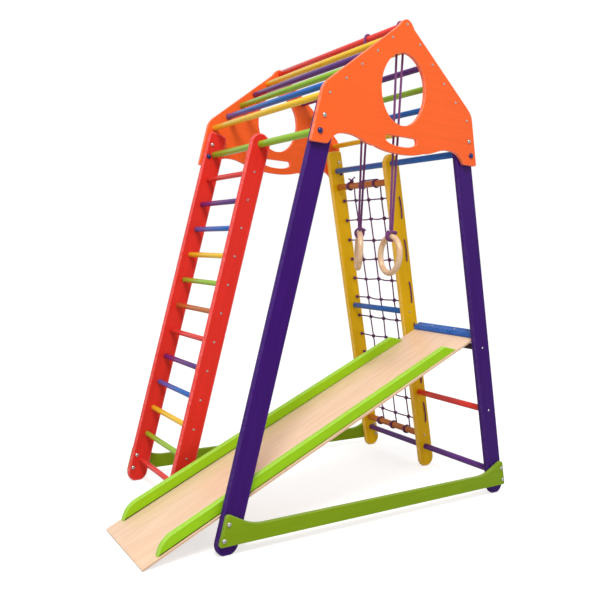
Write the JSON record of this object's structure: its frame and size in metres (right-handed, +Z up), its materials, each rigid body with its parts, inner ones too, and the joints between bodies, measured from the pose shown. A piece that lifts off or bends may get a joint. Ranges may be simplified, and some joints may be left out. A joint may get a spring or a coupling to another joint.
{
  "type": "toddler slide and climbing frame",
  "caption": "Wooden home play frame with a leaning ladder, rope climbing net, hand-bar roof between house-shaped gables, hanging rings and a lift-off slide.",
  "frame": {"origin": "on the floor, under the middle of the whole object's bounding box", "axes": "+Z up; +X across the A of the frame, from the slide's foot towards the climbing net's side; +Y from the front gable to the back gable"},
  "size_m": [1.4892, 0.8616, 1.7033],
  "materials": {
    "paint_orange": "glossy paint on wood",
    "paint_violet": "glossy paint on wood",
    "paint_red": "glossy paint on wood",
    "paint_yellow": "glossy paint on wood",
    "paint_green": "glossy paint on wood",
    "paint_lime": "glossy paint on wood",
    "paint_olive": "glossy paint on wood",
    "paint_blue": "glossy paint on wood",
    "paint_purple": "glossy paint on wood",
    "paint_maroon": "glossy paint on wood",
    "paint_amber": "glossy paint on wood",
    "birch_plywood": "clear satin lacquer",
    "beech": "clear satin lacquer",
    "net_rope": "braided cord",
    "ring_rope": "braided cord",
    "cap_plastic": "glossy",
    "plated_steel": "bright zinc plating"
  },
  "bodies": {
    "frame": {"gable_front": "paint_orange", "gable_back": "paint_orange", "ridge_bar": "paint_red", "roof_bar_left_1": "paint_yellow", "roof_bar_left_2": "paint_purple", "roof_bar_left_3": "paint_green", "roof_bar_left_4": "paint_blue", "roof_bar_left_5": "paint_yellow", "roof_bar_right_1": "paint_yellow", "roof_bar_right_2": "paint_purple", "roof_bar_right_3": "paint_green", "roof_bar_right_4": "paint_blue", "roof_bar_right_5": "paint_yellow", "front_left_post": "paint_violet", "front_right_post": "paint_violet", "ladder_outer_rail": "paint_red", "ladder_inner_rail": "paint_red", "net_outer_rail": "paint_yellow", "net_inner_rail": "paint_yellow", "post_bolt_front_left": "cap_plastic", "post_bolt_front_right": "cap_plastic", "front_foot_brace": "paint_olive", "post_bolt_back_left": "cap_plastic", "post_bolt_back_right": "cap_plastic", "back_foot_brace": "paint_olive", "ladder_rung_01": "paint_red", "ladder_rung_02": "paint_purple", "ladder_rung_03": "paint_blue", "ladder_rung_04": "paint_yellow", "ladder_rung_05": "paint_green", "ladder_rung_06": "paint_amber", "ladder_rung_07": "paint_red", "ladder_rung_08": "paint_purple", "ladder_rung_09": "paint_blue", "ladder_rung_10": "paint_yellow", "ladder_rung_11": "paint_green", "ladder_rung_12": "paint_red", "ladder_top_bar": "paint_green", "net_side_top_bar": "paint_blue", "net_side_bottom_bar": "paint_purple", "net_upper_bar": "paint_amber", "net_middle_bar": "paint_blue", "net_lower_bar": "paint_amber", "slide_bay_tie_bar": "paint_red", "slide_hook_bar": "paint_maroon", "slide_rest_bar": "paint_maroon", "climbing_net": "net_rope"},
    "slide": {"slide_deck": "birch_plywood", "slide_rail_near": "paint_lime", "slide_rail_far": "paint_lime", "slide_hook_batten": "paint_blue", "slide_saddle_batten": "birch_plywood"},
    "ring_1_line": {"ring_1_rope": "ring_rope"},
    "ring_1_grip": {"ring_1_hitch": "ring_rope", "ring_1": "beech"},
    "ring_2_line": {"ring_2_rope": "ring_rope"},
    "ring_2_grip": {"ring_2_hitch": "ring_rope", "ring_2": "beech"}
  },
  "joints": [
    {"name": "slide_tilt", "type": "hinge", "parent": "frame", "child": "slide", "pos_m": [0.5818, -0.19315, 0.584], "axis": [0, 1, 0], "range_deg": [0, 20]},
    {"name": "ring_1_swing", "type": "hinge", "parent": "frame", "child": "ring_1_line", "pos_m": [0.10984, -0.18745, 1.684], "axis": [0, 1, 0], "range_deg": [-24, 24]},
    {"name": "ring_1_turn", "type": "hinge", "parent": "ring_1_line", "child": "ring_1_grip", "pos_m": [0.10984, -0.18745, 1.0203], "axis": [0, 0, 1], "range_deg": [-90, 90]},
    {"name": "ring_2_swing", "type": "hinge", "parent": "frame", "child": "ring_2_line", "pos_m": [0.10984, -0.35945, 1.684], "axis": [0, 1, 0], "range_deg": [-20, 20]},
    {"name": "ring_2_turn", "type": "hinge", "parent": "ring_2_line", "child": "ring_2_grip", "pos_m": [0.10984, -0.35945, 1.0083], "axis": [0, 0, 1], "range_deg": [-90, 90]}
  ]
}
